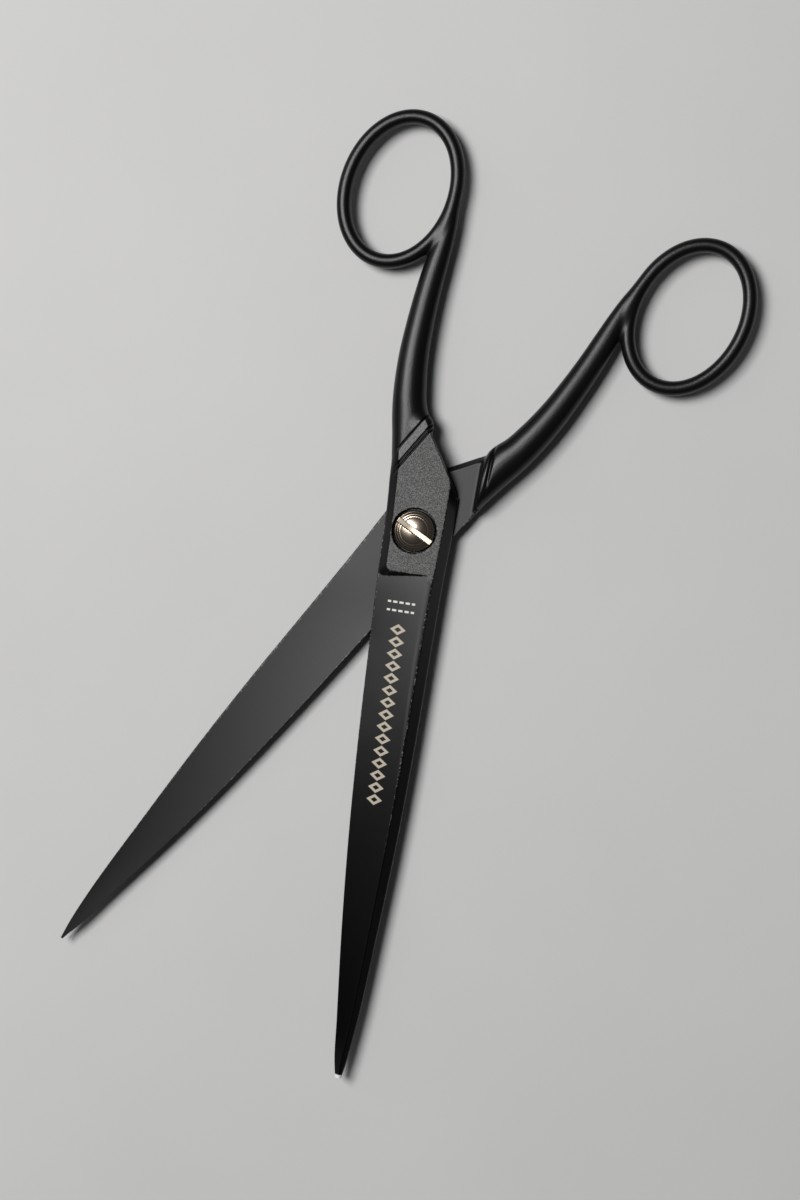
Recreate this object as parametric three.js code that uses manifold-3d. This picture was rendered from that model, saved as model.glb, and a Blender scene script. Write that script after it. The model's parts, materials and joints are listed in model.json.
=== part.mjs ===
// Fabric shears, 10 in long, in millimetres, +Z up.
//
// Two forged halves of one shape turn on a slotted shoulder screw. Each half is drawn in its own
// frame: the screw's axis is Z, the flat joint plane is z = 0, the blade points along -Y with its
// cutting edge on the -X side, and the finger bow is at +Y. The upper half lies above the joint
// plane as drawn. The lower half is the same forging turned over about Y and swung open.
// The model's origin is on the screw's axis, at the level that the lower half's flat back rests on.

import * as THREE from 'three';
import { mergeVertices } from 'three/addons/utils/BufferGeometryUtils.js';
import Module from 'manifold-3d';

const wasm = await Module();
wasm.setup();

const degrees = THREE.MathUtils.degToRad;

// ---- Driving dimensions -------------------------------------------------------------------

const OPEN_ANGLE = degrees(33.2);   // how far the halves stand open
const JOINT_THICKNESS = 4.4;        // joint plane to the flat back of a half
const FACE_CLEARANCE = 0.15;        // joint plane to a half's inner face

// Finger bow: an elliptical ring of oval bar.
const BOW_CENTRE = new THREE.Vector2(-16.73, 87.5);
const BOW_TILT = degrees(77.3);     // direction of the long axis, from +X
const BOW_HALF_LENGTH = 17.4;       // inside the ring, along the long axis
const BOW_HALF_WIDTH = 12.4;        // inside the ring, across it
const BAR_WIDTH = 3.8;              // in the plane of the ring
const BAR_DEPTH = 4.4;              // through the ring
const BOW_STEPS = 56;
const SECTION_SIDES = 16;
const SECTION_POWER = 2.3;          // 2 is an ellipse; more is fuller at the corners

// Shank, from its end inside the joint plate up into the bow: the edges at each height and half
// of the depth through it.
const SHANK = [
  { y: 10, left: -7.4, right: -2.8, half: 3.3 },
  { y: 14, left: -8.6, right: -2.0, half: 4.0 },
  { y: 18, left: -9.1, right: -1.4, half: 4.25 },
  { y: 24, left: -9.9, right: -1.0, half: 4.3 },
  { y: 29, left: -10.6, right: -1.0, half: 4.3 },
  { y: 33, left: -11.0, right: -2.0, half: 4.25 },
  { y: 38, left: -11.2, right: -2.7, half: 4.15 },
  { y: 46, left: -11.0, right: -3.2, half: 3.85 },
  { y: 54, left: -10.2, right: -3.0, half: 3.45 },
  { y: 62, left: -9.1, right: -2.4, half: 3.0 },
  { y: 69, left: -7.8, right: -1.6, half: 2.7 },
  { y: 75, left: -6.3, right: -0.95, half: 2.45 },
  { y: 81, left: -4.6, right: -0.6, half: 2.2 },
  { y: 87, left: -3.6, right: -0.9, half: 1.7 },
];

// Blade, from under the joint plate to its tip: the cutting edge, the spine, how far the ridge of
// the spine's bevel lies in from the spine, the height of the ridge, and the height at the edge.
const BLADE = [
  { y: 4, edge: -8.2, spine: 9.7, bevel: 2.1, ridge: 4.35, rim: 2.3 },
  { y: -12, edge: -8.2, spine: 9.0, bevel: 2.3, ridge: 4.35, rim: 2.3 },
  { y: -30, edge: -8.0, spine: 8.45, bevel: 2.4, ridge: 3.95, rim: 1.2 },
  { y: -58, edge: -7.35, spine: 7.7, bevel: 2.4, ridge: 3.5, rim: 0.8 },
  { y: -82, edge: -6.3, spine: 6.6, bevel: 2.3, ridge: 3.1, rim: 0.7 },
  { y: -106, edge: -4.7, spine: 4.9, bevel: 2.0, ridge: 2.65, rim: 0.6 },
  { y: -130, edge: -2.6, spine: 2.9, bevel: 1.6, ridge: 2.1, rim: 0.55 },
  { y: -141, edge: -1.6, spine: 1.45, bevel: 1.1, ridge: 1.8, rim: 0.55 },
  { y: -144.9, edge: -0.9, spine: 0.75, bevel: 0.6, ridge: 1.5, rim: 0.6 },
];
const SPINE_WALL = 1.0;             // upright part of the spine, below its bevel

// Joint plate: its corners at the inner face, the height that its walls stand upright to, and the
// same corners at the flat back, which the walls slope in to above that.
const PLATE = [
  { foot: [-8.2, -12.9], wall: 2.3, top: [-5.9, -10.6] },
  { foot: [9.0, -12.9], wall: 1.0, top: [6.8, -11.4] },
  { foot: [9.2, -9], wall: 1.0, top: [7.0, -8] },
  { foot: [9.7, 0], wall: 1.0, top: [7.5, 0] },
  { foot: [9.9, 9], wall: 1.0, top: [8.0, 11.3] },
  { foot: [9.65, 10.6], wall: 1.5, top: [7.7, 13.85] },
  { foot: [0.55, 25.75], wall: 3.5, top: [0.55, 25.75] },
  { foot: [0.8, 27], wall: 3, top: [0.6, 27] },
  { foot: [0.35, 28.5], wall: 3, top: [0.0, 28.5] },
  { foot: [-1.0, 30.4], wall: 3, top: [-1.2, 30.1] },
  { foot: [-8.5, 19.1], wall: 2.5, top: [-7.6, 20.4] },
  { foot: [-8.9, 14.9], wall: 2.4, top: [-7.2, 16.8] },
  { foot: [-8.5, 9], wall: 2.3, top: [-6.1, 9] },
  { foot: [-8.15, -1], wall: 2.3, top: [-5.9, -1] },
];

// Shoulder: where the full depth of the shank starts, on the inner side. It runs parallel to the
// slanted edge of the plate that closes against it.
const SHOULDER_SLOPE = degrees(148.9);  // direction from the screw square to the shoulder
const COVE_START = 13.0;                // from the screw's axis to the foot of the cove
const COVE_RADIUS = 1.35;
const SHOULDER_SETBACK = 0.1;           // from the end of the cove to the upright wall
const SLANTED_EDGE = 13.75;             // from the screw's axis square to the plate's slanted edge
const RELIEF_WIDTH = 1.35;              // bevel under that edge that clears the cove
const RELIEF_RISE = 1.6;

// Grooves cut across the back, at the end of the shank.
const GROOVE_WIDTH = 0.5;
const GROOVE_DEPTH = 0.35;
const GROOVE_SLOPE = degrees(146.6);
const GROOVES = [14.05, 14.8, 17.3];    // from the screw's axis

// A cut through the whole half reaches this far past it.
const CUT_REACH = 60;
const CUT_DEPTH = 10;

// Screw and the holes for it.
const HEAD_RADIUS = 5.4;
const COUNTERBORE_RADIUS = 5.9;
const COUNTERBORE_FLOOR = 2.2;      // above the joint plane
const JOURNAL_RADIUS = 3.2;
const BORE_RADIUS = 3.32;
const STEM_RADIUS = 2.5;
const STEM_HOLE_RADIUS = 2.6;
const SEAT_CLEARANCE = 0.05;
const RIM_TOP = 3.75;
const DOME_RADIUS = 4.1;
const DOME_BASE = 4.35;
const DOME_TOP = 5.3;
const SLOT_WIDTH = 1.45;
const SLOT_FLOOR = 3.3;
const SLOT_ANGLE = degrees(-28.4);
const RIM_CHAMFER = 0.4;            // at the edge of the head
const RIM_RISE = 0.3;

const ROUND_STEPS = 48;             // sides of a full circle
const ARC_STEPS = 6;                // sides of a quarter of an arc

// ---- Solids -------------------------------------------------------------------------------

function toSolid(geometry) {
  const bare = geometry.clone();
  bare.deleteAttribute('normal');
  bare.deleteAttribute('uv');
  const merged = mergeVertices(bare, 1e-3);
  return new wasm.Manifold(new wasm.Mesh({
    numProp: 3,
    vertProperties: Float32Array.from(merged.attributes.position.array),
    triVerts: Uint32Array.from(merged.index.array),
  }));
}

function toGeometry(solid) {
  const mesh = solid.getMesh();
  const geometry = new THREE.BufferGeometry();
  geometry.setAttribute('position', new THREE.BufferAttribute(mesh.vertProperties, 3));
  geometry.setIndex(new THREE.BufferAttribute(mesh.triVerts, 1));
  geometry.computeVertexNormals();
  return geometry;
}

// Joins sections, each a loop of points, into one skin. The loops run anticlockwise as seen from
// the last section. A skin that isn't closed on itself gets a flat end at each end.
function loft(sections, closed = false) {
  const sides = sections[0].length;
  const index = [];
  const spans = closed ? sections.length : sections.length - 1;
  for (let i = 0; i < spans; i += 1) {
    const near = i * sides;
    const far = ((i + 1) % sections.length) * sides;
    for (let j = 0; j < sides; j += 1) {
      const k = (j + 1) % sides;
      index.push(near + j, near + k, far + k, near + j, far + k, far + j);
    }
  }
  if (!closed) {
    const last = (sections.length - 1) * sides;
    for (let j = 1; j < sides - 1; j += 1) {
      index.push(0, j + 1, j, last, last + j, last + j + 1);
    }
  }
  const geometry = new THREE.BufferGeometry().setFromPoints(sections.flat());
  geometry.setIndex(index);
  return toSolid(geometry);
}

// A straight bar whose section is drawn in the plane of `across` (level) and Z, running along the
// level direction that is square to `across`, past both sides of a half.
function bar(section, acrossAngle) {
  const across = new THREE.Vector3(Math.cos(acrossAngle), Math.sin(acrossAngle), 0);
  const along = new THREE.Vector3(Math.sin(acrossAngle), -Math.cos(acrossAngle), 0);
  const shape = new THREE.Shape(section.map(([x, z]) => new THREE.Vector2(x, z)));
  const geometry = new THREE.ExtrudeGeometry(shape, { depth: 2 * CUT_REACH, bevelEnabled: false });
  const turn = new THREE.Matrix4().makeBasis(across, new THREE.Vector3(0, 0, 1), along);
  geometry.translate(0, 0, -CUT_REACH);
  geometry.applyMatrix4(turn);
  return toSolid(geometry);
}

function disc(radius, from, to) {
  const geometry = new THREE.CylinderGeometry(radius, radius, to - from, ROUND_STEPS);
  geometry.rotateX(Math.PI / 2);
  geometry.translate(0, 0, (from + to) / 2);
  return toSolid(geometry);
}

function rounded(value) {
  return Math.sign(value) * Math.abs(value) ** (2 / SECTION_POWER);
}

// ---- Finger bow ---------------------------------------------------------------------------

function bowSolid() {
  const long = new THREE.Vector3(Math.cos(BOW_TILT), Math.sin(BOW_TILT), 0);
  const wide = new THREE.Vector3(-Math.sin(BOW_TILT), Math.cos(BOW_TILT), 0);
  const centre = new THREE.Vector3(BOW_CENTRE.x, BOW_CENTRE.y, 0);
  const halfLength = BOW_HALF_LENGTH + BAR_WIDTH / 2;
  const halfWidth = BOW_HALF_WIDTH + BAR_WIDTH / 2;
  const sections = [];
  for (let i = 0; i < BOW_STEPS; i += 1) {
    const turn = (2 * Math.PI * i) / BOW_STEPS;
    const point = centre.clone()
      .addScaledVector(long, halfLength * Math.cos(turn))
      .addScaledVector(wide, halfWidth * Math.sin(turn));
    const outward = new THREE.Vector3()
      .addScaledVector(long, halfWidth * Math.cos(turn))
      .addScaledVector(wide, halfLength * Math.sin(turn))
      .normalize();
    sections.push(ovalSection(point, outward, BAR_WIDTH / 2, BAR_DEPTH / 2));
  }
  return loft(sections, true);
}

function ovalSection(centre, across, halfAcross, halfDepth) {
  const points = [];
  for (let j = 0; j < SECTION_SIDES; j += 1) {
    const turn = (-2 * Math.PI * j) / SECTION_SIDES;
    points.push(centre.clone()
      .addScaledVector(across, halfAcross * rounded(Math.cos(turn)))
      .add(new THREE.Vector3(0, 0, halfDepth * rounded(Math.sin(turn)))));
  }
  return points;
}

// ---- Shank --------------------------------------------------------------------------------

function shankSolid() {
  const sections = SHANK.map(({ y, left, right, half }) => ovalSection(
    new THREE.Vector3((left + right) / 2, y, 0),
    new THREE.Vector3(1, 0, 0),
    (right - left) / 2,
    half,
  ));
  return loft(sections);
}

// What the shoulder leaves free on the inner side: everything below the joint plane, up to a cove
// and an upright wall.
function shoulderCutter() {
  const section = [[-CUT_REACH, FACE_CLEARANCE]];
  for (let i = 0; i <= ARC_STEPS; i += 1) {
    const turn = (Math.PI / 2) * (i / ARC_STEPS);
    section.push([
      COVE_START + COVE_RADIUS * Math.sin(turn),
      FACE_CLEARANCE - COVE_RADIUS * (1 - Math.cos(turn)),
    ]);
  }
  const wall = COVE_START + COVE_RADIUS + SHOULDER_SETBACK;
  section.push([wall, -CUT_DEPTH], [-CUT_REACH, -CUT_DEPTH]);
  return bar(section, SHOULDER_SLOPE);
}

// ---- Blade and joint plate ----------------------------------------------------------------

function bladeSolid() {
  const sections = BLADE.map(({ y, edge, spine, bevel, ridge, rim }) => [
    new THREE.Vector3(edge, y, FACE_CLEARANCE),
    new THREE.Vector3(spine, y, FACE_CLEARANCE),
    new THREE.Vector3(spine, y, Math.min(SPINE_WALL, rim)),
    new THREE.Vector3(spine - bevel, y, ridge),
    new THREE.Vector3(edge, y, rim),
  ]);
  return loft(sections);
}

function plateSolid() {
  const foot = PLATE.map((corner) => new THREE.Vector3(...corner.foot, FACE_CLEARANCE));
  const wall = PLATE.map((corner) => new THREE.Vector3(...corner.foot, corner.wall));
  const top = PLATE.map((corner) => new THREE.Vector3(...corner.top, JOINT_THICKNESS));
  return stack([foot, wall, top]).subtract(edgeRelief());
}

// A solid through outlines of the same number of corners, anticlockwise as seen from above. The
// first and the last lie level.
function stack(levels) {
  const count = levels[0].length;
  const index = [];
  for (let level = 0; level < levels.length - 1; level += 1) {
    const low = level * count;
    const high = low + count;
    for (let i = 0; i < count; i += 1) {
      const j = (i + 1) % count;
      index.push(low + i, low + j, high + j, low + i, high + j, high + i);
    }
  }
  const flat = (loop) => THREE.ShapeUtils.triangulateShape(
    loop.map((p) => new THREE.Vector2(p.x, p.y)),
    [],
  );
  const last = (levels.length - 1) * count;
  flat(levels[0]).forEach(([a, b, c]) => index.push(a, c, b));
  flat(levels.at(-1)).forEach(([a, b, c]) => index.push(last + a, last + b, last + c));
  const geometry = new THREE.BufferGeometry().setFromPoints(levels.flat());
  geometry.setIndex(index);
  return toSolid(geometry);
}

// The slanted edge lies as far from the screw as the shoulder does, on the other side of Y.
function edgeRelief() {
  const start = SLANTED_EDGE - RELIEF_WIDTH;
  const end = SLANTED_EDGE + RELIEF_WIDTH;
  return bar([
    [start, -CUT_DEPTH],
    [start, FACE_CLEARANCE],
    [end, FACE_CLEARANCE + 2 * RELIEF_RISE],
    [end, -CUT_DEPTH],
  ], Math.PI - SHOULDER_SLOPE);
}

// ---- Halves -------------------------------------------------------------------------------

// Straight V grooves across the back, each at its distance from the screw's axis.
function grooves() {
  const deep = JOINT_THICKNESS - GROOVE_DEPTH;
  const clear = JOINT_THICKNESS + GROOVE_DEPTH;
  return GROOVES.map((distance) => bar(
    [[distance, deep], [distance + GROOVE_WIDTH, clear], [distance - GROOVE_WIDTH, clear]],
    GROOVE_SLOPE,
  ));
}

// A hole from below the joint plane, or from floor, up past the flat back.
function hole(radius, floor = -1) {
  return disc(radius, floor, JOINT_THICKNESS + 1);
}

function forgedHalf() {
  const shank = shankSolid().subtract(shoulderCutter());
  const body = bladeSolid().add(plateSolid()).add(shank).add(bowSolid());
  return grooves().reduce((solid, groove) => solid.subtract(groove), body);
}

function upperHalf() {
  return forgedHalf()
    .subtract(hole(BORE_RADIUS))
    .subtract(hole(COUNTERBORE_RADIUS, COUNTERBORE_FLOOR));
}

function lowerHalf() {
  return forgedHalf().subtract(hole(STEM_HOLE_RADIUS));
}

// ---- Screw --------------------------------------------------------------------------------

function screwSolid() {
  const profile = [
    [0, -JOINT_THICKNESS],
    [STEM_RADIUS, -JOINT_THICKNESS],
    [STEM_RADIUS, -FACE_CLEARANCE + SEAT_CLEARANCE],
    [JOURNAL_RADIUS, -FACE_CLEARANCE + SEAT_CLEARANCE],
    [JOURNAL_RADIUS, COUNTERBORE_FLOOR + SEAT_CLEARANCE],
    [HEAD_RADIUS, COUNTERBORE_FLOOR + SEAT_CLEARANCE],
    [HEAD_RADIUS, RIM_TOP],
    [HEAD_RADIUS - RIM_CHAMFER, RIM_TOP + RIM_RISE],
  ];
  for (let i = 0; i < ARC_STEPS; i += 1) {
    const turn = (Math.PI / 2) * (i / ARC_STEPS);
    profile.push([
      DOME_RADIUS * Math.cos(turn),
      DOME_BASE + (DOME_TOP - DOME_BASE) * Math.sin(turn),
    ]);
  }
  profile.push([0, DOME_TOP]);
  const points = profile.map(([radius, height]) => new THREE.Vector2(radius, height));
  const lathe = new THREE.LatheGeometry(points, ROUND_STEPS);
  lathe.rotateX(Math.PI / 2);
  const slot = new THREE.BoxGeometry(4 * HEAD_RADIUS, SLOT_WIDTH, 2 * (DOME_TOP - SLOT_FLOOR));
  slot.translate(0, 0, DOME_TOP);
  slot.rotateZ(SLOT_ANGLE);
  return toSolid(lathe).subtract(toSolid(slot));
}

// ---- Assembly -----------------------------------------------------------------------------

const blackCoat = new THREE.MeshStandardMaterial({ color: 0x141414, roughness: 0.45, metalness: 0.2 });
const nickel = new THREE.MeshStandardMaterial({ color: 0xb3a58f, roughness: 0.28, metalness: 1 });

function named(name, solid, material) {
  const mesh = new THREE.Mesh(toGeometry(solid), material);
  mesh.name = name;
  return mesh;
}

const shears = new THREE.Group();
const joint = new THREE.Group();
const opened = new THREE.Group();
const lower = named('lower_half', lowerHalf(), blackCoat);

joint.position.z = JOINT_THICKNESS;
opened.rotation.z = -OPEN_ANGLE;
lower.rotation.y = Math.PI;

opened.add(lower);
joint.add(named('upper_half', upperHalf(), blackCoat), opened, named('pivot_screw', screwSolid(), nickel));
shears.add(joint);

export default shears;
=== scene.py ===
"""The looks of the fabric shears: two black forged halves and a slotted screw, on a pale floor.

Every shape is a field, a function that is below zero inside the metal. Each half is drawn in its own
frame, in millimetres: the screw's axis is Z, the joint plane is z = 0, the blade points along -Y with
its cutting edge on the -X side, the finger bow is at +Y, and +Z is the half's outer side.
"""

import json
import math

import bmesh
import bpy
import numpy as np
from mathutils import Matrix, Vector


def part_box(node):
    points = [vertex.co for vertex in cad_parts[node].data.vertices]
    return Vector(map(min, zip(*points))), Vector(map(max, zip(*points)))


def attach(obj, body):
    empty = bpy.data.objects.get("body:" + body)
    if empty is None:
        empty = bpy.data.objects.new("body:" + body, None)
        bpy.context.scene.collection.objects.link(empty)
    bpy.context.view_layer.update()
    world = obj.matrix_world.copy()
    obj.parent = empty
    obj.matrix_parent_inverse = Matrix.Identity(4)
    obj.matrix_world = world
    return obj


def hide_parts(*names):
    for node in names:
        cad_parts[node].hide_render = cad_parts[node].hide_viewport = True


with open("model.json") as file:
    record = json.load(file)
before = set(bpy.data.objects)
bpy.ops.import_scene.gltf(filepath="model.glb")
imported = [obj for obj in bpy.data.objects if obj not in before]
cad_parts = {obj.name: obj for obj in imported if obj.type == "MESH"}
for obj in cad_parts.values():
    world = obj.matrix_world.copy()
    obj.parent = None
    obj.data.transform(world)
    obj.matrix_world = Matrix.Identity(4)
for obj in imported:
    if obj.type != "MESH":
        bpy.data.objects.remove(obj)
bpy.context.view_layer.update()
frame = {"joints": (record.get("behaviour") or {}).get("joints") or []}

MM = 0.001
upper_low, upper_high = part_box("upper_half")
hinge = frame["joints"][0]
PIVOT = Vector(hinge["pos_m"])
BACK = upper_high.z / 2 / MM            # joint plane to the flat back of a half
TIP = upper_low.y / MM
OPEN_ANGLE = math.radians(hinge["range_deg"][1])

# ---- Dimensions of a half, in millimetres ------------------------------------------------------

FACE = 0.15                 # joint plane to the inner face
HOLLOW = 0.22               # depth of the hollow grinding of the blade's inner face
BOW_CENTRE = (-16.73, 87.5)
BOW_TILT = math.radians(77.3)
BOW_HALF_LENGTH = 17.36     # inside the ring
BOW_HALF_WIDTH = 12.38
BAR_WIDTH = 3.8
BAR_DEPTH = 4.4
SHOULDER_SLOPE = math.radians(148.9)
COVE_START = 13.0
COVE_RADIUS = 1.35
UPPER_SLANTED_EDGE = 13.85  # at the flat back
LOWER_SLANTED_EDGE = 13.35
EDGE_RELIEF = 1.35          # width of the bevel between the slanted edge and the inner face
RELIEF_RISE = 1.6
GROOVE_SLOPE = math.radians(146.6)
GROOVES = (14.05, 14.8, 17.3)
GROOVE_DEPTH = 0.45
GROOVE_WIDTH = 0.24
ORNAMENT_END = 17.3         # the flat back ends at the last groove
INNER_GROOVE = 16.5
INNER_GROOVE_DEPTH = 0.55
INNER_GROOVE_WIDTH = 0.42
EDGE_ROUNDING = 0.12
RIDGE_ROUNDING = 1.2        # more, on the ridge between the cove and the inner groove
BOW_FILLET = 1.1            # where the shank meets the bow; less by BOW_FILLET_FALL at its end
BOW_FILLET_FALL = 0.5
LIP = ((-1.5, 27.0, 2.3), (2.6, 3.1, 2.1))      # centre and half axes
RIDGE_FLAT = 1.2            # width of the flat strip beside the blade's ridge, at the joint
SPINE_WALL = 1.0
LEFT_WALL = 2.3
STEP = -12.7                # foot of the step between the joint plate and the blade
STEP_WIDTH = 1.7
BORE_RADIUS = 3.32
COUNTERBORE_RADIUS = 5.9
COUNTERBORE_FLOOR = 2.2
STEM_HOLE_RADIUS = 2.6
FIELD_END = -20.0           # the field's mesh ends here, and rows of points go on to the tip
ROW_PITCH = 1.6
LAST_ROW = 0.15             # from the last full row to the tip

# ---- Dimensions of the screw, in millimetres ---------------------------------------------------

HEAD_RADIUS = 5.4
HEAD_FOOT = 2.25
HEAD_EDGE = 3.7             # height of the dome where it meets the head's side
DOME_TOP = 5.25
TURNED_STEPS = (3.55, 4.15, 4.85)
TURNED_DEPTH = 0.04
TURNED_WIDTH = 0.15
JOURNAL_RADIUS = 3.2
STEM_RADIUS = 2.5
SLOT_WIDTH = 1.45
SLOT_FLOOR = 3.3
SLOT_ANGLE = math.radians(-28.4)

# ---- Printed marks on the upper blade, in millimetres ------------------------------------------

MARK_MIDDLE = -0.75
LOZENGES_START = -26.0
LOZENGE_PITCH = 3.2
LOZENGE_GAPS = 14
LOZENGES_END = LOZENGES_START - LOZENGE_GAPS * LOZENGE_PITCH
LOZENGE_LENGTH = 2.9
LOZENGE_WIDTH = 4.3
STITCHES_MIDDLE = -20.0
STITCH_LENGTH = 1.15
STITCH_PITCH = 1.7
STITCH_ROW = 7.4
STITCH_ROW_REACH = 1.1      # from the middle of the two rows to each of them

CELL = 0.26     # size of the fields' cells


# ---- Fields ------------------------------------------------------------------------------------

def curve(*points):
    """A smooth curve through (y, value) points, as a function of y that stays level past its ends."""
    ys, values = np.array(points, float).T
    slopes = np.gradient(values, ys)

    def at(y):
        y = np.clip(y, ys[0], ys[-1])
        i = np.clip(np.searchsorted(ys, y) - 1, 0, len(ys) - 2)
        h = ys[i + 1] - ys[i]
        t = (y - ys[i]) / h
        rise = t * t * (3 - 2 * t)
        return (
            values[i] * (1 - rise) + values[i + 1] * rise
            + h * t * (1 - t) * ((1 - t) * slopes[i] - t * slopes[i + 1])
        )

    return at


def joined(a, b, radius):
    """The union of two fields, with a fillet."""
    near = np.maximum(radius - np.abs(a - b), 0) / radius
    return np.minimum(a, b) - near * near * radius / 4


def common(a, b, radius):
    """What two fields share, with a rounded edge."""
    return -joined(-a, -b, radius)


def common_of(radius, *fields):
    found = fields[0]
    for field in fields[1:]:
        found = common(found, field, radius)
    return found


def smooth_step(value, low, high):
    t = np.clip((value - low) / (high - low), 0, 1)
    return t * t * (3 - 2 * t)


def across(x, y, slope):
    """How far a point lies from the screw's axis, along the direction that slope gives."""
    return x * math.cos(slope) + y * math.sin(slope)


def furrow(distance, depth, width):
    return depth * np.exp(-((distance / width) ** 2))


# Blade: cutting edge, spine, width of the spine's bevel, height of its ridge, height at the edge.
edge_at = curve(
    (TIP, -0.9), (-141, -1.6), (-130, -2.6), (-106, -4.7), (-82, -6.3), (-58, -7.35), (-30, -8.0),
    (-12, -8.2), (8, -8.25),
)
spine_at = curve(
    (TIP, 0.75), (-141, 1.45), (-130, 2.9), (-106, 4.9), (-82, 6.6), (-58, 7.7), (-30, 8.45),
    (-12, 9.0), (0, 9.6), (9, 9.9), (14, 9.9),
)
bevel_at = curve(
    (TIP, 0.6), (-141, 1.1), (-130, 1.6), (-106, 2.0), (-82, 2.3), (-58, 2.4), (-12, 2.3), (14, 2.2),
)
ridge_at = curve(
    (TIP, 1.5), (-141, 1.8), (-130, 2.1), (-106, 2.65), (-82, 3.1), (-58, 3.5), (-30, 3.95),
    (-12, 4.34), (8, BACK),
)
rim_at = curve(
    (TIP, 0.6), (-130, 0.55), (-106, 0.6), (-82, 0.7), (-58, 0.8), (-30, 1.2), (-12, 2.3), (8, 2.3),
)

# How much narrower the lower half's tip is, at its cutting edge and at its spine.
edge_inset_at = curve(
    (TIP, 0.85), (-143, 0.95), (-138.6, 0.75), (-128.6, 0.6), (-121, 0.5), (-100, 0.15), (-80, 0),
)
spine_inset_at = curve((TIP, 0.3), (-141, 0.15), (-134, 0))

# Joint plate: its left side, at the inner face and at the flat back.
left_at = curve((-13, -8.2), (-1, -8.15), (9, -8.5), (14.9, -8.7), (19, -8.3), (26, -7.6))
back_left_at = curve(
    (-13, -5.9), (-1, -5.9), (9, -6.1), (13, -6.2), (16.2, -6.35), (20.8, -6.9), (26, -7.2),
)

# Shank: its edges and half its depth. On the outer side its right edge ends in a lip.
shank_left_at = curve(
    (8, -7.2), (12, -7.9), (15, -8.7), (18, -9.1), (24, -9.85), (29, -10.6), (33, -11.0),
    (38, -11.2), (46, -11.0), (54, -10.2), (62, -9.1), (69, -7.8), (75, -6.2), (81, -4.6),
    (88, -3.6), (97, -3.6),
)
shank_right_at = curve(
    (8, -3.5), (14, -2.0), (18, -1.4), (24, -0.9), (28.5, -0.75), (31, -1.3), (33, -1.95),
    (38, -2.7), (46, -3.2), (54, -3.0), (62, -2.4), (69, -1.6), (75, -0.95), (81, -0.6),
    (88, -0.95), (97, -2.6),
)
shank_depth_at = curve(
    (8, 2.9), (12, 3.6), (16, 4.1), (20, 4.27), (29, 4.27), (33, 4.22), (38, 4.12), (46, 3.82),
    (54, 3.42), (62, 3.0), (69, 2.7), (75, 2.45), (81, 2.2), (88, 1.7), (97, 0.6),
)


def hollow_at(x, y):
    """How far the hollow grinding takes the blade's inner face in from the joint."""
    edge, spine = edge_at(y), spine_at(y)
    share = np.clip((x - edge) / (spine - edge), 0, 1)
    return HOLLOW * 4 * share * (1 - share) * smooth_step(y, -16, -30) * smooth_step(spine - edge, 1, 8)


def blade_field(x, y, z):
    edge, spine, bevel, ridge, rim = (at(y) for at in (edge_at, spine_at, bevel_at, ridge_at, rim_at))
    rise = ridge - SPINE_WALL
    slant = ((x - spine) * rise + (z - SPINE_WALL) * bevel) / np.hypot(rise, bevel)
    reach = spine - edge - bevel - RIDGE_FLAT * smooth_step(y, -78, -30)
    lift = ridge - rim
    outer = (-(x - edge) * lift + (z - rim) * reach) / np.hypot(reach, lift)
    outer = common(outer, z - ridge, 0.1)
    body = common(common(outer, slant, 0.3), x - spine, 0.25)
    return common(common(body, edge - x, 0.12), y - 10, 0.3)


def plate_field(x, y, z, slanted_edge):
    left, back_left, right = left_at(y), back_left_at(y), spine_at(y)
    rise = BACK - LEFT_WALL
    inset = back_left - left
    left_slope = (-(x - left) * rise + (z - LEFT_WALL) * inset) / np.hypot(rise, inset)
    step_slope = (-(y - STEP) * rise + (z - LEFT_WALL) * STEP_WIDTH) / math.hypot(rise, STEP_WIDTH)
    right_rise, right_inset = BACK - SPINE_WALL, bevel_at(y)
    right_slope = (x - right) * right_rise + (z - SPINE_WALL) * right_inset
    right_slope = right_slope / np.hypot(right_rise, right_inset)
    square = across(x, y, math.pi - SHOULDER_SLOPE)
    relief = (square - slanted_edge + EDGE_RELIEF) * RELIEF_RISE - (z - FACE) * EDGE_RELIEF
    slanted = common(square - slanted_edge, relief / math.hypot(RELIEF_RISE, EDGE_RELIEF), 0.3)
    right_side = common(common(x - right, right_slope, 0.4), slanted, 0.8)
    left_side = common(left - x, left_slope, 0.5)
    sides = common(left_side, common(STEP - y, step_slope, 0.4), 1.4)
    sides = common(sides, across(x, y, GROOVE_SLOPE) - ORNAMENT_END, 0.5)
    return common_of(0.3, common(sides, right_side, 0.4), z - BACK, -0.8 - z)


def bow_field(x, y, z):
    dx, dy = x - BOW_CENTRE[0], y - BOW_CENTRE[1]
    along = dx * math.cos(BOW_TILT) + dy * math.sin(BOW_TILT)
    aside = -dx * math.sin(BOW_TILT) + dy * math.cos(BOW_TILT)
    a, b = BOW_HALF_LENGTH + BAR_WIDTH / 2, BOW_HALF_WIDTH + BAR_WIDTH / 2
    near = np.hypot(along / a, aside / b)
    steep = np.hypot(along / a**2, aside / b**2) + 1e-9
    distance = near * (near - 1) / steep
    return oval(distance / (BAR_WIDTH / 2), z / (BAR_DEPTH / 2)) * (BAR_WIDTH / 2)


def oval(across_share, depth_share, power=2.25):
    return (np.abs(across_share) ** power + np.abs(depth_share) ** power) ** (1 / power) - 1


def shank_field(x, y, z):
    left, right, depth = shank_left_at(y), shank_right_at(y), shank_depth_at(y)
    half = (right - left) / 2
    body = oval((x - (left + right) / 2) / half, z / depth) * np.minimum(half, depth)
    return common_of(0.8, body, 9.0 - y, y - 98.0)


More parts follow.
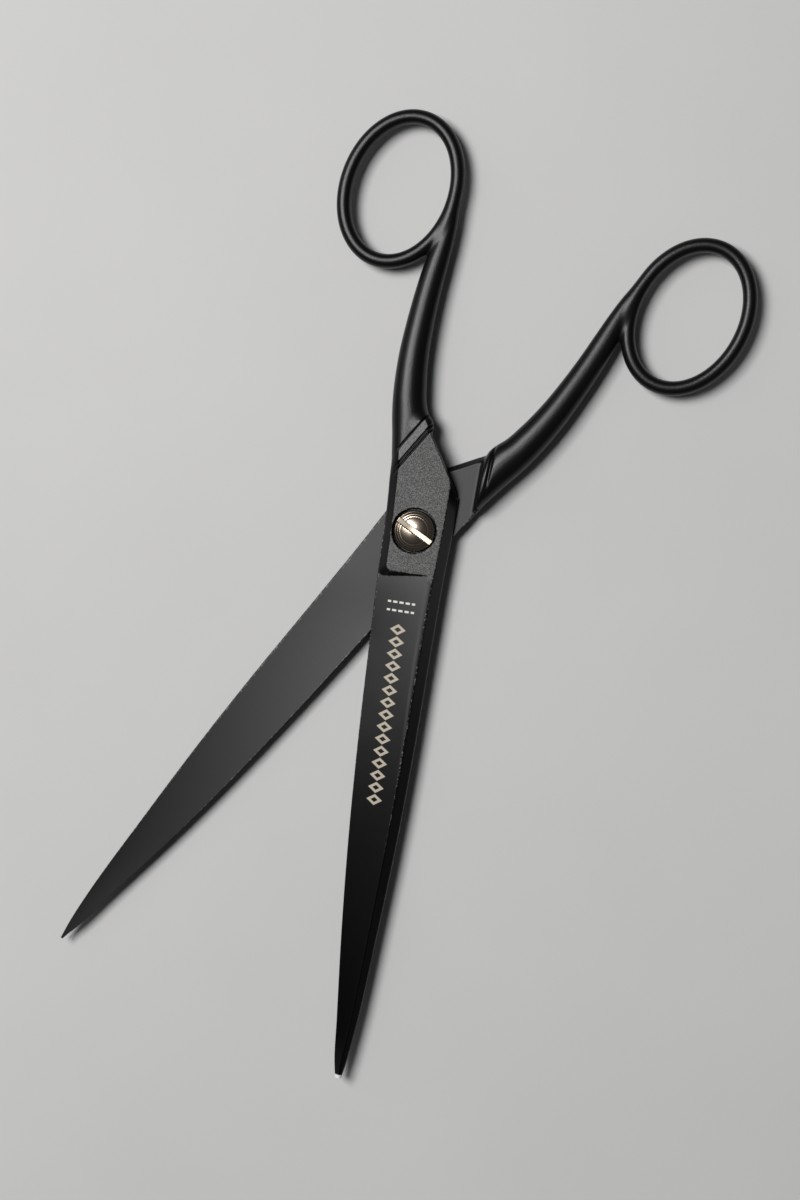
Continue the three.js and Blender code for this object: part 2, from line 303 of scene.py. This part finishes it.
def shoulder_field(x, y, z):
    """The space on the inner side that the shank's shoulder leaves free, with its cove."""
    reach = across(x, y, SHOULDER_SLOPE) - COVE_START
    height = z - (FACE - COVE_RADIUS)
    corner = np.hypot(np.maximum(reach, 0), np.maximum(height, 0))
    return corner + np.minimum(np.maximum(reach, height), 0) - COVE_RADIUS


def lip_field(x, y, z):
    """The bulge on the shank's right side, where the ornament ends."""
    centre, reach = LIP
    share = np.sqrt(sum(((value - c) / r) ** 2 for value, c, r in zip((x, y, z), centre, reach)))
    return (share - 1) * min(reach)


def forged_field(x, y, z, shank, slanted_edge):
    """A half without the holes for its screw, round a shank."""
    fillet = BOW_FILLET - BOW_FILLET_FALL * smooth_step(y, 74, 92)
    handle = joined(shank, bow_field(x, y, z), fillet)
    body = np.minimum(plate_field(x, y, z, slanted_edge), blade_field(x, y, z))
    body = joined(body, handle, 0.6)
    line = across(x, y, GROOVE_SLOPE)
    shown = smooth_step(z, 1.6, 3.2) * smooth_step(x, -7.9, -6.3)
    for distance in GROOVES:
        body = body + furrow(line - distance, GROOVE_DEPTH, GROOVE_WIDTH) * shown
    inner_line = across(x, y, SHOULDER_SLOPE)
    shown = smooth_step(z, -0.6, -2.2) * smooth_step(x, -7.6, -4.4)
    body = body + furrow(inner_line - INNER_GROOVE, INNER_GROOVE_DEPTH, INNER_GROOVE_WIDTH) * shown
    body = common(body, z - BACK, EDGE_ROUNDING)
    corner = EDGE_ROUNDING + RIDGE_ROUNDING * smooth_step(inner_line, COVE_START - 0.5, COVE_START + 1.2)
    return common(body, -shoulder_field(x, y, z - hollow_at(x, y)), corner)


def upper_field(x, y, z):
    """The upper half. Its slanted edge ends in a lip, and the screw's head is sunk in it."""
    shank = joined(shank_field(x, y, z), lip_field(x, y, z), 1.8)
    body = forged_field(x, y, z, shank, UPPER_SLANTED_EDGE)
    radius = np.hypot(x, y)
    counterbore = np.minimum(COUNTERBORE_RADIUS - radius, z - COUNTERBORE_FLOOR)
    return common(common(body, BORE_RADIUS - radius, 0.2), counterbore, 0.2)


def lower_field(x, y, z):
    """The lower half. Its slanted edge and its tip are ground further back than the upper half's."""
    body = forged_field(x, y, z, shank_field(x, y, z), LOWER_SLANTED_EDGE)
    body = common(body, STEM_HOLE_RADIUS - np.hypot(x, y), 0.2)
    clear = 60 * smooth_step(y, -75, -50)
    body = common(body, edge_at(y) + edge_inset_at(y) - x - clear, 0.1)
    return common(body, x - spine_at(y) + spine_inset_at(y) - clear, 0.1)


def screw_field(x, y, z):
    radius = np.hypot(x, y)
    stem = common(radius - STEM_RADIUS, -BACK - z, 0.4)
    journal = common_of(0.2, radius - JOURNAL_RADIUS, -FACE + 0.05 - z)
    crown = (HEAD_RADIUS**2 + (DOME_TOP - HEAD_EDGE) ** 2) / (2 * (DOME_TOP - HEAD_EDGE))
    dome = np.hypot(radius, z - (DOME_TOP - crown)) - crown
    for place in TURNED_STEPS:
        dome = dome + furrow(radius - place, TURNED_DEPTH, TURNED_WIDTH) * smooth_step(z, 3.0, 3.6)
    head = common_of(0.25, dome, HEAD_FOOT - z, radius - HEAD_RADIUS)
    shaft = common(np.minimum(stem, journal), z - HEAD_FOOT - 0.5, 0.1)
    whole = np.minimum(head, shaft)
    slot = common(np.abs(y) - SLOT_WIDTH / 2, SLOT_FLOOR - z, 0.12)
    return common(whole, -slot, 0.12)


# ---- Meshes from fields ------------------------------------------------------------------------

def steps(*spans):
    """Grid lines over joined spans of (from, to, size)."""
    lines = []
    for low, high, size in spans:
        lines.extend(np.linspace(low, high, max(2, round((high - low) / size)), endpoint=False))
    return np.array(lines + [spans[-1][1]])


def surface_net(field, xs, ys, zs):
    """One vertex in each cell that the surface crosses, and one quad round each crossed grid edge."""
    lines = (xs, ys, zs)
    values = field(*np.meshgrid(xs, ys, zs, indexing="ij", sparse=True))
    inside = values < 0
    shape = tuple(n - 1 for n in values.shape)
    corners = [(i, j, k) for i in (0, 1) for j in (0, 1) for k in (0, 1)]
    part = lambda array, c: array[c[0]:c[0] + shape[0], c[1]:c[1] + shape[1], c[2]:c[2] + shape[2]]
    count = sum(part(inside, c).astype(np.int8) for c in corners)
    cells = np.argwhere((count > 0) & (count < 8))
    number = np.full(shape, -1, np.int64)
    number[tuple(cells.T)] = np.arange(len(cells))

    total = np.zeros((len(cells), 3))
    crossings = np.zeros(len(cells))
    for axis in range(3):
        for a in (c for c in corners if c[axis] == 0):
            start = cells + a
            end = start.copy()
            end[:, axis] += 1
            low, high = values[tuple(start.T)], values[tuple(end.T)]
            crossed = (low < 0) != (high < 0)
            share = np.where(crossed, low / np.where(crossed, low - high, 1), 0)
            points = np.stack([lines[k][start[:, k]] for k in range(3)], 1).astype(float)
            points[:, axis] += share * (lines[axis][end[:, axis]] - lines[axis][start[:, axis]])
            total[crossed] += points[crossed]
            crossings += crossed
    vertices = total / crossings[:, None]

    quads = []
    for axis in range(3):
        b, c = (axis + 1) % 3, (axis + 2) % 3
        ahead = [slice(None)] * 3
        behind = [slice(None)] * 3
        ahead[axis], behind[axis] = slice(1, None), slice(None, -1)
        edges = np.argwhere(inside[tuple(ahead)] != inside[tuple(behind)])
        at_b, at_c = edges[:, b], edges[:, c]
        edges = edges[(at_b > 0) & (at_b < shape[b]) & (at_c > 0) & (at_c < shape[c])]
        ring = []
        for db, dc in ((0, 0), (1, 0), (1, 1), (0, 1)):
            cell = edges.copy()
            cell[:, b] -= db
            cell[:, c] -= dc
            ring.append(number[tuple(cell.T)])
        ring = np.stack(ring, 1)
        falling = inside[tuple(edges.T)]
        ring[~falling] = ring[~falling][:, ::-1]
        quads.append(ring)
    return vertices, np.concatenate(quads)


def slope_of(field, points, size=0.02):
    found = np.empty_like(points)
    for axis in range(3):
        shift = np.zeros(3)
        shift[axis] = size
        found[:, axis] = (field(*(points + shift).T) - field(*(points - shift).T)) / (2 * size)
    return found


def onto_surface(field, points, rounds=5, level=()):
    """Moves points onto the field's surface. The axes named in level stay as they are."""
    points = points.copy()
    for _ in range(rounds):
        slope = slope_of(field, points)
        slope[:, list(level)] = 0
        move = field(*points.T)[:, None] * slope / np.maximum((slope**2).sum(1), 0.05)[:, None]
        length = np.linalg.norm(move, axis=1)[:, None]
        points -= move * np.minimum(1, 0.25 / np.maximum(length, 1e-9))
    return points


def sums(numbers, values, count):
    """The sum of the rows of values that share a number, for each number below count."""
    return np.stack([np.bincount(numbers, column, count) for column in values.T], 1)


def neighbour_mean(points, quads):
    ahead = np.roll(quads, -1, axis=1).ravel()
    one = np.concatenate([quads.ravel(), ahead])
    other = np.concatenate([ahead, quads.ravel()])
    neighbours = np.bincount(one, minlength=len(points))
    return sums(one, points[other], len(points)) / np.maximum(neighbours, 1)[:, None]


def border_loop(quads):
    """The vertices round the mesh's one open end, in order."""
    sides = np.concatenate([quads[:, (a, (a + 1) % 4)] for a in range(4)])
    paired = {tuple(side) for side in sides.tolist()}
    onward = {a: b for a, b in paired if (b, a) not in paired}
    loop = [min(onward)]
    while onward[loop[-1]] != loop[0]:
        loop.append(onward[loop[-1]])
    return np.array(loop)


def smooth_net(field, xs, ys, zs, open_end=False):
    vertices, quads = surface_net(field, xs, ys, zs)
    border = border_loop(quads) if open_end else np.array([], int)
    end_y = (ys[0] + ys[1]) / 2
    for _ in range(3):
        vertices[border, 1] = end_y
        vertices = onto_surface(field, vertices, 4)
        eased = neighbour_mean(vertices, quads)
        eased[border] = vertices[border]
        vertices += 0.5 * (eased - vertices)
    vertices = onto_surface(field, vertices)
    vertices += 0.02 * (neighbour_mean(vertices, quads) - vertices)
    vertices[border, 1] = end_y
    vertices[border] = onto_surface(field, vertices[border], 8, level=(1,))
    return vertices, quads, border


# ---- Blade -------------------------------------------------------------------------------------

def blade_outline(y, narrowed):
    """The corners of the blade's section at y, with the lower half's narrowed tip or without."""
    curves = (edge_at, spine_at, bevel_at, ridge_at, rim_at)
    edge, spine, bevel, ridge, rim = (float(at(y)) for at in curves)
    from_edge = float(edge_inset_at(y)) * narrowed
    from_spine = float(spine_inset_at(y)) * narrowed
    ridge_x = spine - bevel
    return np.array([
        (edge + from_edge, FACE),
        (spine - from_spine, FACE),
        (spine - from_spine, SPINE_WALL + (ridge - SPINE_WALL) * from_spine / bevel),
        (ridge_x, ridge),
        (edge + from_edge, rim + (ridge - rim) * from_edge / (ridge_x - edge)),
    ])


def places_on_outline(points, outline):
    """For each point, the side of the outline it is nearest to and its share of the way along it."""
    ends = np.roll(outline, -1, axis=0)
    run = ends - outline
    share = np.einsum("pij,ij->pi", points[:, None] - outline[None], run) / (run**2).sum(1)
    share = np.clip(share, 0, 1)
    nearest = outline[None] + share[..., None] * run[None]
    side = np.linalg.norm(points[:, None] - nearest, axis=2).argmin(1)
    return side, share[np.arange(len(points)), side]


def blade_rows(field, vertices, quads, border, narrowed):
    """Carries the blade on from the open end to the tip, with as many points in every row."""
    start_y = vertices[border[0], 1]
    side, share = places_on_outline(vertices[border][:, (0, 2)], blade_outline(start_y, narrowed))
    last = TIP + LAST_ROW
    even = np.arange(start_y - ROW_PITCH, last + 3, -ROW_PITCH)
    rows = np.concatenate([even, np.linspace(last + 2.4, last, 6)])
    points, faces, previous = [vertices], [quads], border
    count = len(vertices)
    for y in rows:
        outline = blade_outline(y, narrowed)
        ends = np.roll(outline, -1, axis=0)
        flat = outline[side] + share[:, None] * (ends - outline)[side]
        row = np.stack([flat[:, 0], np.full(len(flat), y), flat[:, 1]], 1)
        points.append(onto_surface(field, row, 6, level=(1,)))
        numbers = np.arange(count, count + len(border))
        faces.append(np.stack([previous, numbers, np.roll(numbers, -1), np.roll(previous, -1)], 1))
        previous = numbers
        count += len(border)
    centre = points[-1].mean(0)
    end = centre + (points[-1] - centre) * 0.75
    end[:, 1] = TIP
    points.append(end)
    numbers = np.arange(count, count + len(border))
    faces.append(np.stack([previous, numbers, np.roll(numbers, -1), np.roll(previous, -1)], 1))
    return np.concatenate(points), np.concatenate(faces), numbers


def half_points(field, narrowed):
    xs = steps((-34.6, -12.0, CELL * 1.25), (-12.0, 10.4, CELL))
    ys = steps(
        (FIELD_END, -14.0, CELL * 1.4),
        (-14.0, 14.0, CELL),
        (14.0, 32.0, CELL * 0.85),
        (32.0, 109.2, CELL * 1.4),
    )
    zs = steps((-4.75, 4.75, CELL))
    vertices, quads, border = smooth_net(field, xs, ys, zs, open_end=True)
    return blade_rows(field, vertices, quads, border, narrowed)


def roundness(vertices, quads):
    """How sharply the surface bends outwards at each vertex, from 0 to 1."""
    corner = vertices[quads]
    facing = np.cross(corner[:, 2] - corner[:, 0], corner[:, 3] - corner[:, 1])
    normal = sums(quads.ravel(), np.repeat(facing, 4, axis=0), len(vertices))
    normal /= np.maximum(np.linalg.norm(normal, axis=1), 1e-12)[:, None]
    bend = -((neighbour_mean(vertices, quads) - vertices) * normal).sum(1) / CELL
    for _ in range(2):
        bend = 0.5 * bend + 0.5 * neighbour_mean(bend[:, None], quads)[:, 0]
    return smooth_step(bend, 0.02, 0.16)


def make_piece(name, field, vertices, quads, place, material, cap=None, marked=False):
    """A mesh from points in a half's frame, in millimetres, that keeps that frame for its material."""
    facing = slope_of(field, vertices)
    facing /= np.maximum(np.linalg.norm(facing, axis=1), 1e-9)[:, None]
    turn = np.array(place.to_3x3())
    mesh = bpy.data.meshes.new(name)
    faces = quads.tolist() + ([cap.tolist()] if cap is not None else [])
    points = vertices @ turn.T * MM + np.array(place.translation)
    mesh.from_pydata(points.tolist(), [], faces)
    for label, kind, values in (
        ("place", "FLOAT_VECTOR", vertices),
        ("facing", "FLOAT_VECTOR", facing),
        ("bend", "FLOAT", roundness(vertices, quads)),
        ("marked", "FLOAT", np.full(len(vertices), marked)),
    ):
        kept = mesh.attributes.new(label, kind, "POINT")
        field_name = "vector" if values.ndim == 2 else "value"
        kept.data.foreach_set(field_name, values.astype(np.float32).ravel())
    shaped = bmesh.new()
    shaped.from_mesh(mesh)
    bmesh.ops.recalc_face_normals(shaped, faces=shaped.faces)
    shaped.to_mesh(mesh)
    shaped.free()
    mesh.shade_smooth()
    mesh.normals_split_custom_set_from_vertices((facing @ turn.T).tolist())
    mesh.materials.append(material)
    piece = bpy.data.objects.new(name, mesh)
    bpy.context.scene.collection.objects.link(piece)
    return piece


# ---- Materials ---------------------------------------------------------------------------------

class Finish:
    """A material under construction. A value is a number, a colour or another node's output."""

    def __init__(self, name):
        self.material = bpy.data.materials.new(name)
        self.material.use_nodes = True
        self.tree = self.material.node_tree
        self.tree.nodes.clear()
        output = self.tree.nodes.new("ShaderNodeOutputMaterial")
        self.shader = self.tree.nodes.new("ShaderNodeBsdfPrincipled")
        self.tree.links.new(self.shader.outputs[0], output.inputs[0])
        self.place = self.attribute("place", "Vector")
        self.x, self.y, self.z = self.split(self.place)
        self.facing_z = self.split(self.attribute("facing", "Vector"))[2]

    def give(self, socket, value):
        if isinstance(value, bpy.types.NodeSocket):
            self.tree.links.new(value, socket)
        else:
            socket.default_value = value

    def split(self, vector):
        node = self.tree.nodes.new("ShaderNodeSeparateXYZ")
        self.give(node.inputs[0], vector)
        return node.outputs[:]

    def vector(self, x, y, z):
        node = self.tree.nodes.new("ShaderNodeCombineXYZ")
        for socket, value in zip(node.inputs, (x, y, z)):
            self.give(socket, value)
        return node.outputs[0]

    def math(self, operation, *values):
        node = self.tree.nodes.new("ShaderNodeMath")
        node.operation = operation
        for socket, value in zip(node.inputs, values):
            self.give(socket, value)
        return node.outputs[0]

    def product(self, *values):
        found = values[0]
        for value in values[1:]:
            found = self.math("MULTIPLY", found, value)
        return found

    def without(self, share):
        return self.math("SUBTRACT", 1.0, share)

    def step(self, value, low, high, from_value=0.0, to_value=1.0):
        node = self.tree.nodes.new("ShaderNodeMapRange")
        node.interpolation_type = "SMOOTHSTEP"
        for socket, given in zip(node.inputs, (value, low, high, from_value, to_value)):
            self.give(socket, given)
        return node.outputs[0]

    def noise(self, scale, detail=2.0, roughness=0.5, at=None):
        node = self.tree.nodes.new("ShaderNodeTexNoise")
        self.give(node.inputs["Vector"], at or self.place)
        node.inputs["Scale"].default_value = scale
        node.inputs["Detail"].default_value = detail
        node.inputs["Roughness"].default_value = roughness
        return node.outputs["Fac"]

    def stretched(self, x, y, z):
        """The place, drawn out along an axis where its factor is small."""
        node = self.tree.nodes.new("ShaderNodeVectorMath")
        node.operation = "MULTIPLY"
        self.give(node.inputs[0], self.place)
        node.inputs[1].default_value = (x, y, z)
        return node.outputs[0]

    def mix(self, share, a, b):
        node = self.tree.nodes.new("ShaderNodeMix")
        node.data_type = "RGBA"
        self.give(node.inputs["Factor"], share)
        self.give(node.inputs["A"], a)
        self.give(node.inputs["B"], b)
        return node.outputs["Result"]

    def blend(self, share, a, b):
        node = self.tree.nodes.new("ShaderNodeMix")
        node.data_type = "FLOAT"
        self.give(node.inputs["Factor"], share)
        self.give(node.inputs["A"], a)
        self.give(node.inputs["B"], b)
        return node.outputs["Result"]

    def between(self, value, low, high, soft=0.06):
        above = self.step(value, low - soft, low + soft)
        return self.product(above, self.step(value, high + soft, high - soft))

    def attribute(self, name, kind="Fac"):
        node = self.tree.nodes.new("ShaderNodeAttribute")
        node.attribute_name = name
        return node.outputs[kind]

    def bump(self, height, distance, strength):
        node = self.tree.nodes.new("ShaderNodeBump")
        node.inputs["Distance"].default_value = distance * MM
        node.inputs["Strength"].default_value = strength
        self.give(node.inputs["Height"], height)
        return node.outputs[0]

    def set(self, **values):
        for name, value in values.items():
            self.give(self.shader.inputs[name.replace("_", " ").title().replace("Ior", "IOR")], value)


def grey(value, warmth=0.0):
    return (value * (1 + warmth), value, value * (1 - warmth), 1.0)


def printed_marks(f, outer):
    """A row of open lozenges along the blade, and two rows of stitches beside the joint plate."""
    along = f.math("PINGPONG", f.math("SUBTRACT", f.y, LOZENGES_END), LOZENGE_PITCH / 2)
    aside = f.math("ABSOLUTE", f.math("SUBTRACT", f.x, MARK_MIDDLE))
    reach = f.math("ADD", f.product(along, 2 / LOZENGE_LENGTH), f.product(aside, 2 / LOZENGE_WIDTH))
    row = f.between(f.y, LOZENGES_END - LOZENGE_PITCH / 2, LOZENGES_START + LOZENGE_PITCH / 2)
    lozenges = f.product(f.between(reach, 0.46, 1.0, 0.05), row)
    stitch = f.math("PINGPONG", f.math("SUBTRACT", f.x, MARK_MIDDLE), STITCH_PITCH / 2)
    from_low_row = f.math("SUBTRACT", f.y, STITCHES_MIDDLE - STITCH_ROW_REACH)
    from_row = f.math("PINGPONG", from_low_row, STITCH_ROW_REACH)
    stitches = f.product(
        f.step(stitch, STITCH_LENGTH / 2 + 0.06, STITCH_LENGTH / 2 - 0.06),
        f.between(f.x, MARK_MIDDLE - STITCH_ROW / 2, MARK_MIDDLE + STITCH_ROW / 2),
        f.step(from_row, 0.32, 0.22),
        f.between(f.y, STITCHES_MIDDLE - 1.6, STITCHES_MIDDLE + 1.6),
    )
    printed = f.product(f.attribute("marked"), outer)
    return f.product(lozenges, printed), f.product(stitches, printed)


def black_steel():
    """Black coating: smooth on the handles, satin on the blades, coarse on the forged joint plate."""
    f = Finish("blackened_steel")
    beyond_step = f.step(f.y, STEP - 0.4, STEP + 0.2)
    level = f.step(f.z, BACK - 0.16, BACK - 0.04)
    flat_back = f.product(level, beyond_step, f.step(f.facing_z, 0.8, 0.95))
    near_joint = f.product(f.step(f.z, 0.75, 0.5), f.step(f.z, -0.2, 0.0))
    inner = f.product(f.step(f.facing_z, -0.93, -0.985), near_joint)
    handle = f.product(f.step(f.y, 12, 22), f.without(flat_back), f.without(inner))
    outer = f.product(f.step(f.facing_z, 0.85, 0.93), f.without(beyond_step))

    grain = f.noise(3.6, 4.0, 0.68)
    fine = f.noise(9.0, 2.0, 0.6)
    peel = f.noise(2.4, 2.0, 0.6)
    patches = f.noise(0.16, 3.0, 0.55)
    streaks = f.noise(1.0, 3.0, 0.6, at=f.stretched(0.25, 5.0, 1.0))
    speckle = f.step(grain, 0.40, 0.64)
    toward_tip = f.step(f.y, -14, -120)
    line_x = f.product(f.x, math.cos(GROOVE_SLOPE))
    line = f.math("ADD", line_x, f.product(f.y, math.sin(GROOVE_SLOPE)))
    strip = f.product(f.step(line, GROOVES[1], GROOVES[1] + 0.5), flat_back)

    # Joint plate's flat back: a grainy coating. The grain is real; its lighter grey and bright specks
    # are painted sheen and painted sparkle.
    plate_grain_and_sheen = f.mix(speckle, f.mix(patches, grey(0.024, 0.02), grey(0.055, 0.02)), grey(0.155, 0.02))
    # The strip beside the middle groove is painted brighter still, a painted sheen.
    plate_grain_and_sheen = f.mix(strip, plate_grain_and_sheen, f.mix(speckle, grey(0.10, 0.02), grey(0.22, 0.02)))
    # Outer face of the blades: a little lighter than the black coating near the joint, fading to near
    # black toward the tip. This is a painted sheen standing in for the lights' reflection fading along
    # the blade.
    face = f.mix(patches, grey(0.005, 0.02), grey(0.012, 0.02))
    face = f.mix(f.step(f.y, -14, -90), face, grey(0.001))
    # Inner face of the lower blade: grey grind streaks near the joint, fading to near black toward the
    # tip. The streaks are the grinding's own marks. The grey is partly the steel's own tone and partly
    # painted sheen, and the fading toward the tip is painted shade.
    ground = f.mix(toward_tip, f.mix(streaks, grey(0.026, 0.015), grey(0.045, 0.015)), grey(0.002))
    colour = f.mix(outer, grey(0.0035), face)
    colour = f.mix(inner, colour, ground)
    colour = f.mix(flat_back, colour, plate_grain_and_sheen)

    roughness = f.blend(handle, 0.32, f.blend(fine, 0.27, 0.37))
    satin = f.blend(f.step(f.y, -14, -80), f.blend(patches, 0.33, 0.40), 0.23)
    roughness = f.blend(outer, roughness, satin)
    roughness = f.blend(inner, roughness, f.blend(toward_tip, f.blend(streaks, 0.40, 0.50), 0.62))
    roughness = f.blend(flat_back, roughness, f.blend(speckle, 0.6, 0.46))

    sharp = f.step(f.attribute("bend"), 0.04, 0.12)
    chipped = f.product(sharp, f.step(f.noise(1.5, 3.0, 0.7), 0.54, 0.59), f.step(f.y, 16, 12))
    # The last millimetre of the upper blade's tip is coloured near white.
    white_tip = f.product(f.attribute("marked"), f.step(f.y, TIP + 1.1, TIP + 0.7))
    lozenges, stitches = printed_marks(f, outer)
    colour = f.mix(chipped, colour, grey(0.15, 0.05))
    lozenges = f.product(lozenges, f.step(fine, 0.30, 0.45, 0.6, 1.0))
    colour = f.mix(lozenges, colour, (0.46, 0.41, 0.33, 1))
    colour = f.mix(stitches, colour, (0.66, 0.64, 0.60, 1))
    colour = f.mix(white_tip, colour, grey(0.75))

    height = f.math("ADD", f.product(grain, flat_back), f.product(fine, 0.06))
    height = f.math("ADD", height, f.product(streaks, inner, 0.05))
    height = f.math("ADD", height, f.product(peel, handle, 0.5))
    f.set(base_color=colour, roughness=roughness, normal=f.bump(height, 0.12, 0.55))
    f.set(metallic=0.0, specular_ior_level=0.25)
    return f.material


def nickel_steel():
    """Warm nickel, turned on a lathe: fine rings round the axis spread a highlight along the radius."""
    f = Finish("nickel_steel")
    radius = f.math("SQRT", f.math("ADD", f.product(f.x, f.x), f.product(f.y, f.y)))
    rings = f.noise(1.0, 2.0, 0.7, at=f.vector(f.product(radius, 3.2), 0.0, 0.0))
    stains = f.noise(0.6, 3.0, 0.6)
    aside = f.math("ABSOLUTE", f.y)
    in_slot = f.product(f.step(aside, SLOT_WIDTH / 2 + 0.1, SLOT_WIDTH / 2), f.step(f.z, 3.9, 3.5))
    # Painted shade: the upper-left half of the slot's floor is coloured dark, standing in for the shadow
    # of the slot's wall and the dark reflection there.
    painted_slot_shade = f.product(in_slot, f.step(f.x, 0.6, -2.4))
    colour = f.mix(stains, (0.54, 0.46, 0.38, 1), (0.34, 0.26, 0.19, 1))
    colour = f.mix(painted_slot_shade, colour, (0.11, 0.095, 0.075, 1))
    roughness = f.blend(stains, 0.18, 0.28)
    turned = f.product(rings, f.without(in_slot))
    f.set(base_color=colour, roughness=roughness, normal=f.bump(turned, 0.022, 0.5))
    f.set(metallic=1.0)
    return f.material


def floor_paper():
    f = Finish("floor")
    coordinates = f.tree.nodes.new("ShaderNodeTexCoord").outputs["Object"]
    cloudy = f.noise(12.0, 3.0, 0.55, at=coordinates)
    f.set(base_color=f.mix(cloudy, grey(0.52, 0.01), grey(0.57, 0.01)), roughness=0.9)
    f.set(normal=f.bump(f.noise(800.0, 3.0, 0.6, at=coordinates), 0.05, 0.3))
    return f.material


# ---- Pieces ------------------------------------------------------------------------------------

def make_half(name, field, place, material, marked):
    vertices, quads, cap = half_points(field, narrowed=not marked)
    return make_piece(name, field, vertices, quads, place, material, cap, marked)


def make_screw(place, material):
    size = CELL * 0.55
    reach = HEAD_RADIUS + 2 * size
    xs = steps((-reach, reach, size))
    zs = steps((-BACK - 2 * size, DOME_TOP + 2 * size, size))
    vertices, quads, _ = smooth_net(screw_field, xs, xs, zs)
    return make_piece("turned_screw", screw_field, vertices, quads, place, material)


black = black_steel()
nickel = nickel_steel()
joint_place = Matrix.Translation(PIVOT + Vector((0, 0, BACK * MM)))
turned_over = Matrix.Rotation(-OPEN_ANGLE, 4, "Z") @ Matrix.Rotation(math.pi, 4, "Y")

upper = make_half("upper_forging", upper_field, joint_place, black, marked=True)
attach(upper, "upper")
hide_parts("upper_half")

lower = make_half("lower_forging", lower_field, joint_place @ turned_over, black, marked=False)
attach(lower, "lower")
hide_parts("lower_half")

screw = make_screw(joint_place @ Matrix.Rotation(SLOT_ANGLE, 4, "Z"), nickel)
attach(screw, "lower")
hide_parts("pivot_screw")


# ---- Floor, lights and camera ------------------------------------------------------------------

def make_floor():
    mesh = bpy.data.meshes.new("floor")
    reach = 3.0
    corners = [(-reach, -reach, 0), (reach, -reach, 0), (reach, reach, 0), (-reach, reach, 0)]
    mesh.from_pydata(corners, [], [(0, 1, 2, 3)])
    mesh.materials.append(floor_paper())
    floor = bpy.data.objects.new("floor", mesh)
    floor.location.z = -0.0002
    bpy.context.scene.collection.objects.link(floor)


def make_light(name, direction, distance, size, power):
    """A soft rectangular light that looks at the screw from a direction."""
    light = bpy.data.lights.new(name, "AREA")
    light.shape = "RECTANGLE"
    light.size, light.size_y = size
    light.energy = power
    lamp = bpy.data.objects.new(name, light)
    away = Vector(direction).normalized()
    lamp.location = PIVOT + away * distance
    lamp.rotation_euler = away.to_track_quat("Z", "Y").to_euler()
    bpy.context.scene.collection.objects.link(lamp)


def make_camera():
    """The camera looks down on the shears, a little from their right, with a 72 mm lens."""
    distance = 0.6253
    roll, turn, tilt = math.radians(-8.19), math.radians(-8.7), math.radians(0.9)
    offset = Vector((0.00427, 0.01794, 0.0))
    to_camera = (
        Matrix.Rotation(tilt, 3, "X") @ Matrix.Rotation(turn, 3, "Y") @ Matrix.Rotation(roll, 3, "Z")
    )
    camera = bpy.data.cameras.new("camera")
    camera.lens = 72
    camera.sensor_width = 36
    body = bpy.data.objects.new("camera", camera)
    place = to_camera.transposed().to_4x4()
    from_joint = to_camera.transposed() @ (Vector((0, 0, distance)) - offset)
    place.translation = PIVOT + Vector((0, 0, BACK * MM)) + from_joint
    body.matrix_world = place
    bpy.context.scene.collection.objects.link(body)
    bpy.context.scene.camera = body


def make_world():
    world = bpy.data.worlds.new("studio")
    world.use_nodes = True
    background = world.node_tree.nodes["Background"]
    background.inputs["Color"].default_value = (0.92, 0.94, 1.0, 1)
    background.inputs["Strength"].default_value = 0.05
    bpy.context.scene.world = world


make_floor()
make_light("main", (-0.36, 0.18, 0.93), 1.2, (0.46, 0.55), 15)
make_light("side", (-0.75, 0.30, 0.60), 1.2, (0.6, 0.9), 1.2)
make_camera()
make_world()
bpy.context.scene.view_settings.view_transform = "Standard"
